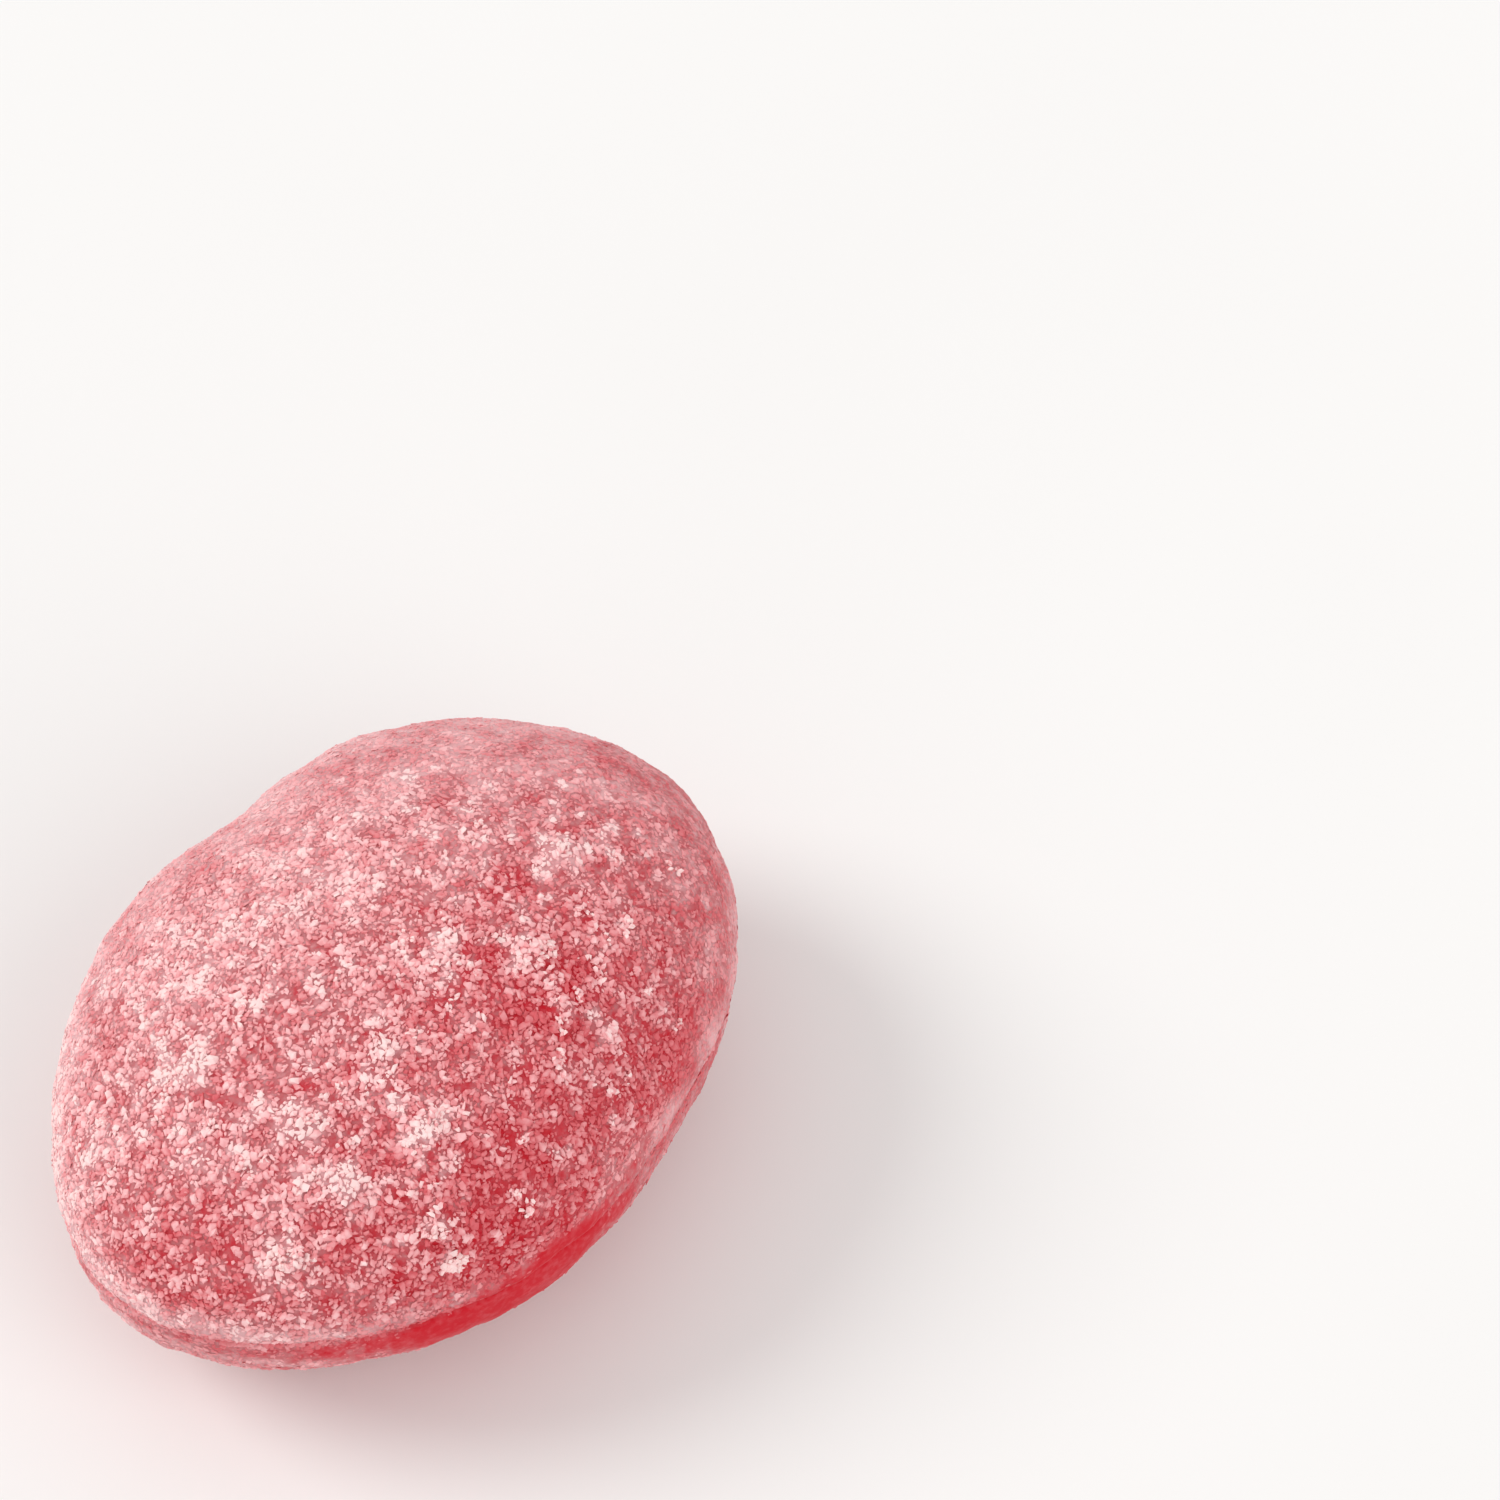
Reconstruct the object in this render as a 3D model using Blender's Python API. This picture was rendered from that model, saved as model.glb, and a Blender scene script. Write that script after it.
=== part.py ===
"""A hard candy drop: boiled sugar pressed in two halves and rolled in granulated sugar.

The drop is one solid. It lies on a small flat spot of its belly, with +X along its length
and the origin under the middle of its box. Metres, +Z up.
"""

import math
import random

import bmesh
import bpy
import numpy as np
from mathutils import Vector, noise

MM = 0.001

# Driving dimensions. The seam runs round the drop between the crown and the side band.
LENGTH = 25.0 * MM
WIDTH = 18.4 * MM
CROWN_HEIGHT = 5.7 * MM
SIDE_BAND = 1.1 * MM
BELLY_DEPTH = 5.0 * MM
REST_CUT = 0.22 * MM  # how much of the belly's lowest point is missing where the drop rests

# The seam: the crown's lip rounds under into a groove, and the band below is set in a little.
LIP_ROUND = 0.30 * MM
GROOVE_DEPTH = 0.26 * MM
BAND_INSET = 0.10 * MM

# Outline seen from above: a slightly pointed oval, a little fuller at one end, flattened on
# both long sides. A flat is (share of the radius taken off, direction in degrees, spread in degrees).
OVAL_POWER = 1.86
TAPER = 0.07
FLATS = ((0.085, 81.0, 17.5), (0.115, -72.0, 38.0))

# The sugar crust stands on the candy as low lumps. Where it lies thickest, it makes clusters:
# those on the crown are (x, y, radius) in millimetres, and the rest are drawn from a seed.
CRUST_RELIEF = 0.085 * MM
CRUST_LUMP = 1.5 * MM
CROWN_CLUSTERS = (
    (-3.8, -5.1, 0.9),
    (-6.1, -2.3, 1.0),
    (-6.7, -4.4, 1.0),
    (-7.0, 1.5, 0.9),
    (-9.0, -4.5, 0.7),
    (-5.4, -7.1, 0.6),
    (-2.9, -2.5, 0.6),
    (0.5, -1.7, 0.7),
    (2.1, -5.4, 0.7),
    (2.6, -3.5, 0.8),
    (2.8, -6.6, 0.6),
    (6.1, -1.5, 0.9),
    (7.9, -1.7, 0.6),
)
BELLY_CLUSTERS = 14
BELLY_CLUSTER_RADIUS = (0.5 * MM, 1.0 * MM)
CLUSTER_RISE = 0.24  # a cluster's height over its radius
CLUSTER_SEED = 11

# Spacing of the mesh's points.
POINT_SPACING = 0.54 * MM
OUTLINE_STEPS = 720

SEAM_HEIGHT = SIDE_BAND + BELLY_DEPTH - REST_CUT

CANDY_COLOUR = (0.60, 0.055, 0.075, 1.0)
SUGAR_COLOUR = (0.86, 0.42, 0.43, 1.0)


def signed_power(value, power):
    return np.sign(value) * np.abs(value) ** power


def outline_points():
    """The seam's outline as closely spaced points, scaled to the drop's length and width."""
    angle = np.linspace(0.0, 2.0 * math.pi, OUTLINE_STEPS, endpoint=False)
    along = signed_power(np.cos(angle), 2.0 / OVAL_POWER)
    across = signed_power(np.sin(angle), 2.0 / OVAL_POWER) * (1.0 + TAPER * np.cos(angle))
    kept = np.ones_like(angle)
    for share, direction, spread in FLATS:
        away = (angle - math.radians(direction) + math.pi) % (2.0 * math.pi) - math.pi
        kept -= share * np.exp(-((away / math.radians(spread)) ** 2))
    points = np.stack([along * LENGTH * kept, across * WIDTH * kept], axis=1)
    lowest = points.min(axis=0)
    highest = points.max(axis=0)
    middle = (lowest + highest) / 2.0
    return (points - middle) * np.array([LENGTH, WIDTH]) / (highest - lowest)


def outward_normals(points):
    """The outline's normals in its own plane."""
    along = np.roll(points, -1, axis=0) - np.roll(points, 1, axis=0)
    normals = np.stack([along[:, 1], -along[:, 0]], axis=1)
    return normals / np.linalg.norm(normals, axis=1)[:, None]


def dome_levels(height, mean_radius):
    """Angles of elevation that divide a dome's meridian into steps of the point spacing."""
    fine = np.linspace(0.0, math.pi / 2.0, 400)
    step = np.hypot(np.diff(np.cos(fine)) * mean_radius, np.diff(np.sin(fine)) * height)
    travelled = np.concatenate([[0.0], np.cumsum(step)])
    count = max(3, round(travelled[-1] / POINT_SPACING))
    return np.interp(np.linspace(0.0, travelled[-1], count + 1), travelled, fine)


def meridian(mean_radius):
    """Levels from the crown's top to the rest spot: (share of the outline, inset, height)."""
    levels = []
    for angle in dome_levels(CROWN_HEIGHT, mean_radius)[::-1]:
        levels.append((math.cos(angle), 0.0, SEAM_HEIGHT + CROWN_HEIGHT * math.sin(angle)))
    levels.append((1.0, 0.25 * GROOVE_DEPTH, SEAM_HEIGHT - 0.6 * LIP_ROUND))
    levels.append((1.0, GROOVE_DEPTH, SEAM_HEIGHT - LIP_ROUND))
    levels.append((1.0, BAND_INSET, SEAM_HEIGHT - LIP_ROUND - GROOVE_DEPTH))
    band_foot = SEAM_HEIGHT - SIDE_BAND
    for angle in dome_levels(BELLY_DEPTH, mean_radius):
        height = band_foot - BELLY_DEPTH * math.sin(angle)
        levels.append((math.cos(angle), BAND_INSET, max(height, 0.0)))
    return levels


def ring_points(outline, normals, level, shifted):
    """Points evenly spaced round one level, half a step on where shifted is set."""
    share, inset, height = level
    ring = outline * share - normals * inset * share
    step = np.linalg.norm(np.roll(ring, -1, axis=0) - ring, axis=1)
    travelled = np.concatenate([[0.0], np.cumsum(step)])
    count = max(6, round(travelled[-1] / POINT_SPACING))
    places = (np.arange(count) + (0.5 if shifted else 0.0)) / count * travelled[-1]
    closed = np.vstack([ring, ring[:1]])
    x = np.interp(places, travelled, closed[:, 0])
    y = np.interp(places, travelled, closed[:, 1])
    return [Vector((px, py, height)) for px, py in zip(x, y)]


def bridge(mesh, upper, lower):
    """Joins two rings of different counts with triangles, facing out when upper is above lower."""
    i = 0
    j = 0
    while i < len(upper) or j < len(lower):
        next_upper = (i + 1) / len(upper)
        next_lower = (j + 1) / len(lower)
        here = upper[i % len(upper)]
        there = lower[j % len(lower)]
        if j >= len(lower) or (i < len(upper) and next_upper <= next_lower):
            mesh.faces.new((here, there, upper[(i + 1) % len(upper)]))
            i += 1
        else:
            mesh.faces.new((here, there, lower[(j + 1) % len(lower)]))
            j += 1


def pressed_shape():
    """The bare drop: rings from the crown's top to the rest spot, bridged, with both poles closed."""
    outline = outline_points()
    normals = outward_normals(outline)
    mean_radius = float(np.linalg.norm(outline, axis=1).mean())
    levels = meridian(mean_radius)
    mesh = bmesh.new()
    top = mesh.verts.new((0.0, 0.0, levels[0][2]))
    bottom = mesh.verts.new((0.0, 0.0, 0.0))
    rings = []
    for number, level in enumerate(levels[1:-1]):
        points = ring_points(outline, normals, level, number % 2 == 1)
        rings.append([mesh.verts.new(point) for point in points])
    for upper, lower in zip(rings, rings[1:]):
        bridge(mesh, upper, lower)
    for ring, pole, sign in ((rings[0], top, 1), (rings[-1], bottom, -1)):
        for a, b in zip(ring, ring[1:] + ring[:1]):
            mesh.faces.new((pole, a, b) if sign > 0 else (pole, b, a))
    mesh.normal_update()
    return mesh


def nearest_on_crown(mesh, x, y):
    """The crown's point nearest to a place in plan."""
    crown = [vert.co for vert in mesh.verts if vert.co.z > SEAM_HEIGHT]
    return min(crown, key=lambda co: math.hypot(co.x - x, co.y - y)).copy()


def cluster_places(mesh):
    """Every sugar cluster as (point on the bare candy, radius)."""
    places = []
    for x, y, radius in CROWN_CLUSTERS:
        places.append((nearest_on_crown(mesh, x * MM, y * MM), radius * MM))
    draw = random.Random(CLUSTER_SEED)
    belly = [vert.co for vert in mesh.verts if 0.0 < vert.co.z < SEAM_HEIGHT - SIDE_BAND]
    for point in draw.sample(belly, BELLY_CLUSTERS):
        places.append((point.copy(), draw.uniform(*BELLY_CLUSTER_RADIUS)))
    return places


def crust_height(point, clusters):
    """Height of the sugar over the candy at a point."""
    lumps = noise.noise(point / CRUST_LUMP) + 0.5 * noise.noise(point * 2.3 / CRUST_LUMP)
    height = CRUST_RELIEF * lumps
    for place, radius in clusters:
        away = (point - place).length / radius
        if away < 1.0:
            height += CLUSTER_RISE * radius * (1.0 - away * away) ** 2
    return height


def add_crust(mesh):
    """Moves the points out along their normals by the crust, and keeps the rest spot flat."""
    clusters = cluster_places(mesh)
    moves = []
    for vert in mesh.verts:
        if vert.co.z > 0.0:
            moves.append((vert, vert.normal * crust_height(vert.co, clusters)))
    for vert, move in moves:
        vert.co += move
        vert.co.z = max(vert.co.z, 0.0)


def centre_on_floor(mesh):
    """Puts the middle of the drop's box over the origin."""
    for axis in (0, 1):
        values = [vert.co[axis] for vert in mesh.verts]
        middle = (min(values) + max(values)) / 2.0
        for vert in mesh.verts:
            vert.co[axis] -= middle


def sugared_candy_material():
    """Translucent red candy under a pale dusting, in one procedural material."""
    material = bpy.data.materials.new("sugared_candy")
    material.use_nodes = True
    nodes = material.node_tree.nodes
    links = material.node_tree.links
    shader = nodes["Principled BSDF"]
    shader.inputs["Roughness"].default_value = 0.62
    shader.inputs["Metallic"].default_value = 0.0
    shader.inputs["Subsurface Weight"].default_value = 0.3
    shader.inputs["Subsurface Scale"].default_value = 1.0 * MM
    place = nodes.new("ShaderNodeTexCoord")
    speckle = nodes.new("ShaderNodeTexNoise")
    speckle.inputs["Scale"].default_value = 1.0 / (0.45 * MM)
    speckle.inputs["Detail"].default_value = 3.0
    colours = nodes.new("ShaderNodeValToRGB")
    colours.color_ramp.elements[0].position = 0.40
    colours.color_ramp.elements[0].color = CANDY_COLOUR
    colours.color_ramp.elements[1].position = 0.60
    colours.color_ramp.elements[1].color = SUGAR_COLOUR
    links.new(place.outputs["Object"], speckle.inputs["Vector"])
    links.new(speckle.outputs["Fac"], colours.inputs["Fac"])
    links.new(colours.outputs["Color"], shader.inputs["Base Color"])
    return material


def make_candy_drop():
    shape = pressed_shape()
    add_crust(shape)
    centre_on_floor(shape)
    data = bpy.data.meshes.new("candy_drop")
    shape.to_mesh(data)
    shape.free()
    data.materials.append(sugared_candy_material())
    data.shade_smooth()
    drop = bpy.data.objects.new("candy_drop", data)
    bpy.context.scene.collection.objects.link(drop)
    return drop


def main():
    for leftover in list(bpy.data.objects):
        bpy.data.objects.remove(leftover, do_unlink=True)
    make_candy_drop()


main()
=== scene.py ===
"""The looks of a sugared hard candy drop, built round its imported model.

The candy's body takes the CAD node's place: the same pressed form at a finer spacing, with the
crust's own unevenness. The sugar on it is real mesh. Its crystals are in four kinds, from sunk
and rosy to dry and white, each one piece on the crown and one on the belly, and its crumbs are
one piece more. All are drawn from fixed seeds. Metres, +Z up, with the origin on the ground
under the middle of the drop.
"""

import math

import bpy
import numpy as np
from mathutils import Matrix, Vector, noise


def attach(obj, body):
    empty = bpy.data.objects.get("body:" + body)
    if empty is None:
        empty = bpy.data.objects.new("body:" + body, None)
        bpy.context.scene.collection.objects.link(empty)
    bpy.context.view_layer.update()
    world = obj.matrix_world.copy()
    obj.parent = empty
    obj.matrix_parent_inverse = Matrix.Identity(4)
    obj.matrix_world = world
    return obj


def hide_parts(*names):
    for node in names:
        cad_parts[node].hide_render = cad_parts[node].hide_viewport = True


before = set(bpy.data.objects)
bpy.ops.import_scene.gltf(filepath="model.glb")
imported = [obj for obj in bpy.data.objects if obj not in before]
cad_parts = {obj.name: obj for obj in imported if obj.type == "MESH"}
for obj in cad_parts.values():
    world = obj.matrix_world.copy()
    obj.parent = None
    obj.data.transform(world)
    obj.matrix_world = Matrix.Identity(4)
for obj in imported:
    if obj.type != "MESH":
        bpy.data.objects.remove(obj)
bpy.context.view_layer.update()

MM = 0.001

# The pressed form, with the CAD's own driving dimensions. The seam runs round the drop between
# the crown and the side band. The crown's lip rounds under into a groove at the seam, and the
# band below is set in a little.
LENGTH = 25.0 * MM
WIDTH = 18.4 * MM
CROWN_HEIGHT = 5.7 * MM
SIDE_BAND = 1.1 * MM
BELLY_DEPTH = 5.0 * MM
REST_CUT = 0.22 * MM
LIP_ROUND = 0.30 * MM
GROOVE_DEPTH = 0.26 * MM
BAND_INSET = 0.10 * MM
SEAM_HEIGHT = SIDE_BAND + BELLY_DEPTH - REST_CUT

# The outline is a slightly pointed oval, fuller at one end and flattened on both long sides. A
# flat is (share of the radius taken off, direction in degrees, spread in degrees).
OVAL_POWER = 1.86
TAPER = 0.07
FLATS = ((0.085, 81.0, 17.5), (0.115, -72.0, 38.0))
OUTLINE_STEPS = 1440
DOME_STEPS = 2000
LIP_STEPS = 4

# The sugar crust makes low lumps and, where it is thickest, clusters. A cluster of the crown is
# (x, y, radius) in millimetres.
CRUST_RELIEF = 0.085 * MM
CRUST_LUMP = 1.5 * MM
FINE_LUMP = CRUST_LUMP / 2.3
FINE_LUMP_SHARE = 0.5
CROWN_CLUSTERS = (
    (-3.8, -5.1, 0.9),
    (-6.1, -2.3, 1.0),
    (-6.7, -4.4, 1.0),
    (-7.0, 1.5, 0.9),
    (-9.0, -4.5, 0.7),
    (-5.4, -7.1, 0.6),
    (-2.9, -2.5, 0.6),
    (0.5, -1.7, 0.7),
    (2.1, -5.4, 0.7),
    (2.6, -3.5, 0.8),
    (2.8, -6.6, 0.6),
    (6.1, -1.5, 0.9),
    (7.9, -1.7, 0.6),
)
CLUSTER_RISE = 0.24  # a cluster's height over its radius
CLUSTER_FILL = 1.15  # over 1, so that a cluster is whole at its middle and thins out at its edge
CLUSTER_RAG = 0.45 * MM
CLUSTER_RAG_SHARE = 1.5
CLUSTER_RAG_PLACE = 8.1

# The body's mesh. The crystals stand on it, so it lies a little inside the pressed form.
BODY_SPACING = 0.172 * MM
BODY_INSET = 0.06 * MM
BODY_GRAIN = 0.30 * MM
BODY_GRAIN_RELIEF = 0.030 * MM
BODY_GRAIN_PLACE = 1.7
GRAIN_OFF_BARE = 0.7
OVAL_ON_MAP = (0.49, 0.98)  # width and height on the bake map of the crown's oval, and the belly's

# How pale the sugar is, from 0, soaked and rosy, to 1, dry and white, with painted light in it.
# It is palest on the +Y side, a slope that is partly painted light from the key light's side,
# in the clusters, and at the lip, and rosiest on the side band. A noise is (size of its lumps,
# share of the paleness, place in the noise). The first two places were picked from many, for a
# slight likeness to where the photo's patches lie.
PALE_MIDDLE = 0.60
PALE_AND_LIT_ACROSS = 0.27
PALE_ALONG = -0.10
PALE_NOISES = (
    (3.2 * MM, 0.24, 26.0),
    (1.3 * MM, 0.26, 51.5),
    (0.60 * MM, 0.30, 2.2),
)
PALE_IN_CLUSTER = 0.24
PALE_OFF_BAND = 0.27
PALE_OFF_STRETCH = 0.26
STRETCH_REACH = 2.4 * MM
PALEST = 1.25
EDGE_FADE = 1.4  # over 1, so that the lip and the band keep their full paleness for part of their width

# The lip has a pale edge of frost and painted sheen. It is widest and palest on the key light's
# side, where it is painted rim light.
FROST_AND_SHEEN_AT_LIP = 0.34
LIP_WIDTH = 1.35 * MM
LIP_UNDER = 0.1 * MM
RIM_LIGHT_SIDE = math.radians(125.0)
RIM_LIGHT_PALER = 0.7
RIM_LIGHT_WIDER = 0.6

# Paler and rosier spots of the crown, placed where the drop came out rosier or paler than the
# photo: (x, y, radius) in millimetres, and how much paler the sugar is there. A minus makes it
# rosier.
CROWN_SPOTS = (
    (5.0, -4.2, 1.8, 0.26),
    (-1.5, 2.3, 2.2, 0.20),
    (3.8, 2.8, 2.0, 0.17),
    (7.6, 1.6, 1.2, 0.12),
    (-8.0, 4.2, 1.7, 0.16),
    (-2.6, -7.1, 1.9, -0.24),
    (2.0, -4.2, 1.8, -0.20),
    (-6.6, 1.0, 1.5, -0.15),
    (5.4, -1.3, 1.6, -0.18),
    (3.4, -7.8, 1.7, -0.19),
    (2.6, 0.4, 1.1, 0.13),
    (-5.2, -0.4, 1.2, 0.11),
    (-5.2, 4.0, 1.9, 0.12),
    (-2.0, 7.0, 2.0, -0.12),
    (-4.9, -7.5, 0.9, -0.24),
    (11.0, -1.0, 2.1, -0.24),
    (-9.2, 1.4, 1.5, -0.11),
    (-6.8, -6.0, 1.1, -0.13),
)

# The sugar is soft, which is finer, flatter and more even, close to the lip. It is soft farthest
# up the crown in one direction, and softest there and in the smooth direction.
SOFT_DIRECTION = math.radians(50.0)
SOFT_REACH = (0.7 * MM, 9.0 * MM)
SOFT_BELOW = 4.4 * MM
LEAST_SOFT = 0.65
SMOOTH_DIRECTION = math.radians(-50.0)
SMOOTH_SPREAD = math.radians(42.0)

# One stretch of the band is almost bare. Its upper border climbs over the groove on one side, and
# stays low on the other, where the stretch has a longer tail.
BARE_DIRECTION = math.radians(-113.0)
BARE_SPREAD = math.radians(24.0)
BARE_TAIL = math.radians(30.0)
BARE_FROM = -0.22 * MM
BARE_SLOPE = 1.9 * MM
BARE_LOWEST = -0.60 * MM
BARE_ABOVE = 0.50 * MM
BARE_BELOW = 1.8 * MM
BAREST = 1.5
BARE_RAG = 0.7 * MM
BARE_RAG_SHARE = 0.40
BARE_RAG_PLACE = 4.4

# One crystal: a foot and a shoulder ring with a pointed top, uneven at each point. Its cell of
# the bake map is CELL_WIDTH wide and 1 high: the top and sides fill the left, the underside the right.
CRYSTAL_SIDES = 5
SHOULDER_RADIUS = 0.85
SHOULDER_HEIGHT = 0.35
CRYSTAL_WIDTH = (0.40, 0.90)  # over its length
CRYSTAL_HEIGHT = (0.35, 0.70)  # over its width
CRYSTAL_UNEVENNESS = 0.36
CELL_WIDTH = 1.4
FOOT_ON_MAP = 0.47
SHOULDER_ON_MAP = 0.25
UNDERSIDE_ON_MAP = 0.17
UNDERSIDE_PLACE = (1.2, 0.5)

# The cover of crystals: the share of the body's triangles that hold one, where the sugar is
# rosiest and where it is palest, and the crystals' lengths, most of them short.
COVER_SEED = 21
COVER_SHARE = (0.62, 0.80)
BELLY_COVER = 0.72
BARE_COVER_POWER = 1.5
CLEAR_OF_GROUND = 0.05 * MM
COVER_LENGTH = (0.13 * MM, 0.37 * MM)
SHORT_POWER = 2.0
SHORTER_IF_SOFT = 0.15
SHORTER_IF_BARE = 0.35
FLATTER_IF_SOFT = 0.78
FLATTER_IF_BARE = 0.4
SINK_IF_SOFT = 0.25
COVER_TILT = 0.34
MOST_LEAN = 1.6

# How white a crystal is: it follows the paleness round it, painted light included, and crystals
# vary in patches and singly.
WHITE_OF_PALE = 0.80
WHITE_OF_CLUSTER = 0.38
WHITE_OFF_BARE = 0.55
WHITE_OF_SOFT = 0.06
WHITE_PATCH = 0.46 * MM
WHITE_PATCH_SHARE = 0.50
WHITE_PATCH_PLACE = 5.9
WHITE_SINGLY = 0.08
EVENER_IF_SOFT = 0.8

# A kind of crystal is (name, whiter than, at most as white as, sink, roughness). At sink 0 it
# stands on the body, and at 1 it lies wholly under it.
KINDS = (
    ("sunk", -math.inf, 0.36, 0.38, 0.45),
    ("rosy", 0.36, 0.56, 0.36, 0.45),
    ("pale", 0.56, 0.80, 0.32, 0.60),
    ("white", 0.80, math.inf, 0.30, 0.60),
)

# Crumbs: small heaps of crystals, most of them in the clusters and none at the rim.
CRUMB_SEED = 22
CRUMB_SHARE = 0.0036
CRUMB_ANYWHERE = 0.5
CRUMB_IN_CLUSTER = 5.0
CRUMB_OFF_RIM = 3.3 * MM
CRUMB_RADIUS = (0.14 * MM, 0.34 * MM)
CRUMB_WIDTH = (0.5, 0.9)  # over its radius
CRUMB_SPREAD = 0.5
CRUMB_CRYSTALS = 9
FEWEST_IN_CRUMB = 3
CRUMB_POWER = 1.5
CRUMB_LENGTH = (0.15 * MM, 0.27 * MM)
CRUMB_WHITE = (0.90, 0.15)  # middle and spread
CRUMB_FLATNESS = 1.2
CRUMB_SINK = 0.35
CRUMB_TILT = 0.8
CRUMB_ROUGHNESS = 0.60

# The biggest crumb lies near the lip: its place, the direction that it is narrow in, and its reach.
BIG_CRUMB_PLACE = (-5.5 * MM, -7.6 * MM)
BIG_CRUMB_ACROSS = (0.30, 0.95, 0.0)
BIG_CRUMB_REACH = (0.46 * MM, 0.22 * MM)
BIG_CRUMB_CRYSTALS = 46
BIG_CRUMB_LENGTH = (0.18 * MM, 0.36 * MM)
BIG_CRUMB_WHITER = 0.08

# The candy's colours, from bare to under a thick film of dissolved sugar, and where each stands
# on the film's scale. The film's thickness is a sum of shares.
CANDY_STOPS = (
    (0.10, (0.575, 0.008, 0.020)),
    (0.36, (0.61, 0.058, 0.075)),
    (0.62, (0.59, 0.168, 0.182)),
    (1.0, (0.82, 0.400, 0.418)),
)
CANDY_FLECK = 0.22 * MM
CANDY_CLOUD = 1.3 * MM
CANDY_BUMP = 0.03 * MM
FILM_START = -0.45
FILM_OF_HAZE = 0.75
FILM_OF_FLECK = 0.9
FILM_OF_CLOUD = 0.3
HAZE_OF_PALE = 0.9
HAZE_OF_CLUSTER = 0.2
HAZE_OF_SOFT = 0.55

# The sugar's colours, from soaked to dry. A crystal is paler by its height over the body, up to
# LIFT_HEIGHT: its foot is rosy where it soaks in, and darker there as painted shade in the crevices
# between crystals.
SUGAR_STOPS = (
    (0.0, (0.69, 0.120, 0.140)),
    (0.38, (0.825, 0.310, 0.330)),
    (0.72, (0.94, 0.525, 0.540)),
    (1.0, (0.980, 0.725, 0.715)),
)
SUGAR_MOTTLE = 0.12 * MM
DRY_START = -0.33
DRY_AND_UNSHADED_OF_LIFT = 0.35
DRY_OF_MOTTLE = 0.35
LIFT_HEIGHT = 0.14 * MM

# The camera stands in the photo's direction, in degrees. It aims at the ground beside the drop,
# because the drop lies in the photo's lower left.
CAMERA_AZIMUTH = -48.2
CAMERA_ELEVATION = 55.7
CAMERA_DISTANCE = 245.2 * MM
CAMERA_AIM = (18.24 * MM, 1.59 * MM, 0.0)
CAMERA_LENS = 180.0

# The studio. A sun is (name, degrees round from the camera, elevation, spread, strength, colour).
STUDIO_WHITE = (1.0, 0.992, 0.985, 1.0)
STUDIO_STRENGTH = 0.69
WALL_STRENGTH = 0.97
SUNS = (
    ("key", -102.0, 40.0, 30.0, 1.32, (1.0, 0.985, 0.965)),
    ("fill", 50.0, 35.0, 50.0, 0.80, (1.0, 0.98, 0.97)),
)
FLOOR_STOPS = ((0.3, (0.86, 0.855, 0.85)), (0.7, (0.88, 0.877, 0.872)))
FLOOR_TONE = 40.0 * MM
FLOOR_RADIUS = 1.5
FLOOR_DROP = 0.02 * MM


# ---------------------------------------------------------------- the pressed form

def signed_power(value, power):
    return np.sign(value) * np.abs(value) ** power


def outline_points():
    """The seam's outline as closely spaced points, scaled to the drop's length and width."""
    angle = np.linspace(0.0, 2.0 * math.pi, OUTLINE_STEPS, endpoint=False)
    along = signed_power(np.cos(angle), 2.0 / OVAL_POWER)
    across = signed_power(np.sin(angle), 2.0 / OVAL_POWER) * (1.0 + TAPER * np.cos(angle))
    kept = np.ones_like(angle)
    for share, direction, spread in FLATS:
        away = (angle - math.radians(direction) + math.pi) % (2.0 * math.pi) - math.pi
        kept -= share * np.exp(-((away / math.radians(spread)) ** 2))
    points = np.stack([along * LENGTH * kept, across * WIDTH * kept], axis=1)
    lowest = points.min(axis=0)
    highest = points.max(axis=0)
    middle = (lowest + highest) / 2.0
    return (points - middle) * np.array([LENGTH, WIDTH]) / (highest - lowest)


def outward_normals(points):
    """The outline's normals in its own plane."""
    along = np.roll(points, -1, axis=0) - np.roll(points, 1, axis=0)
    normals = np.stack([along[:, 1], -along[:, 0]], axis=1)
    return normals / np.linalg.norm(normals, axis=1)[:, None]


def dome_levels(height, mean_radius):
    """Angles of elevation that divide a dome's meridian into steps of the body's spacing."""
    fine = np.linspace(0.0, math.pi / 2.0, DOME_STEPS)
    step = np.hypot(np.diff(np.cos(fine)) * mean_radius, np.diff(np.sin(fine)) * height)
    travelled = np.concatenate([[0.0], np.cumsum(step)])
    count = round(travelled[-1] / BODY_SPACING)
    return np.interp(np.linspace(0.0, travelled[-1], count + 1), travelled, fine)


def meridian(mean_radius):
    """Levels from the crown's top to the rest spot, each (share of the outline, inset, height),
    and the number of the level at the groove's bottom."""
    levels = []
    for angle in dome_levels(CROWN_HEIGHT, mean_radius)[::-1]:
        levels.append((math.cos(angle), 0.0, SEAM_HEIGHT + CROWN_HEIGHT * math.sin(angle)))
    quarter = np.linspace(0.0, math.pi / 2.0, LIP_STEPS + 1)
    for turn in quarter[1:]:
        inset = GROOVE_DEPTH * (1.0 - math.cos(turn))
        levels.append((1.0, inset, SEAM_HEIGHT - LIP_ROUND * math.sin(turn)))
    groove = len(levels) - 1
    for turn in quarter[1:]:
        inset = BAND_INSET + (GROOVE_DEPTH - BAND_INSET) * (1.0 - math.sin(turn))
        levels.append((1.0, inset, SEAM_HEIGHT - LIP_ROUND - GROOVE_DEPTH * (1.0 - math.cos(turn))))
    band_foot = SEAM_HEIGHT - SIDE_BAND
    upright = levels[-1][2] - band_foot
    for step in range(1, round(upright / BODY_SPACING)):
        levels.append((1.0, BAND_INSET, band_foot + upright * (1.0 - step * BODY_SPACING / upright)))
    for angle in dome_levels(BELLY_DEPTH, mean_radius):
        height = band_foot - BELLY_DEPTH * math.sin(angle)
        levels.append((math.cos(angle), BAND_INSET, max(height, 0.0)))
    return levels, groove


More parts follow.
